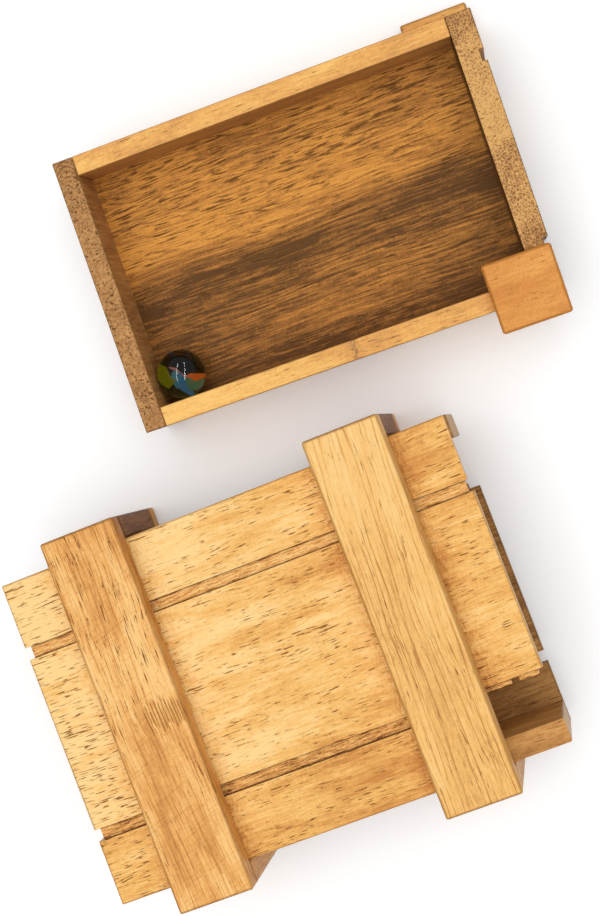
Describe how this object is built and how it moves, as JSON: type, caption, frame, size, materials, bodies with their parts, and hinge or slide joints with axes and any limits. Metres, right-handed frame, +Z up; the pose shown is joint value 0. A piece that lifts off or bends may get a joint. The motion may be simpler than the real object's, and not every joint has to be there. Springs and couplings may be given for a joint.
{
  "type": "wooden puzzle box",
  "caption": "Crate-shaped wooden puzzle box, open at one end, with its drawer set down beside it, interlocking corner blocks and a loose glass marble in the tray.",
  "frame": {"origin": "centre of the footprint of the whole set, case and set-down drawer together, on the surface they stand on", "axes": "+X along the planks towards the open end of the case, +Y across them from the case towards the drawer, +Z up"},
  "size_m": [0.2023, 0.2397, 0.0575],
  "materials": {
    "honey_wood": "satin lacquer over golden hardwood with short dark pores",
    "tan_wood": "satin lacquer over orange-tan hardwood",
    "pale_wood": "satin lacquer over pale straight-grained hardwood",
    "end_grain_wood": "sanded end grain with dark specks",
    "figured_wood": "satin lacquer over dark-banded figured hardwood",
    "brown_wood": "sanded brown hardwood",
    "marble_glass": "polished clear green glass with coloured swirls"
  },
  "bodies": {
    "case": {"top_board": "honey_wood", "bottom_board": "brown_wood", "front_side_board": "honey_wood", "back_side_board": "honey_wood", "end_wall": "end_grain_wood", "left_top_batten": "tan_wood", "right_top_batten": "pale_wood", "left_bottom_batten": "tan_wood", "right_bottom_batten": "pale_wood", "left_front_post": "tan_wood", "right_front_post": "tan_wood", "left_back_post": "brown_wood", "right_back_post": "brown_wood"},
    "drawer": {"drawer_front": "end_grain_wood", "drawer_back": "end_grain_wood", "drawer_near_wall": "honey_wood", "drawer_far_wall": "honey_wood", "drawer_floor": "figured_wood", "top_corner_block": "honey_wood", "bottom_corner_block": "honey_wood"},
    "marble": {"marble": "marble_glass"}
  },
  "joints": [
    {"name": "drawer_slide", "type": "slide", "parent": "case", "child": "drawer", "axis": [0.9991, -0.0419, 0], "range_m": [-0.0483, 0.0922]},
    {"name": "marble_roll", "type": "slide", "parent": "drawer", "child": "marble", "axis": [0.9991, -0.0419, 0], "range_m": [0, 0.1089]}
  ]
}
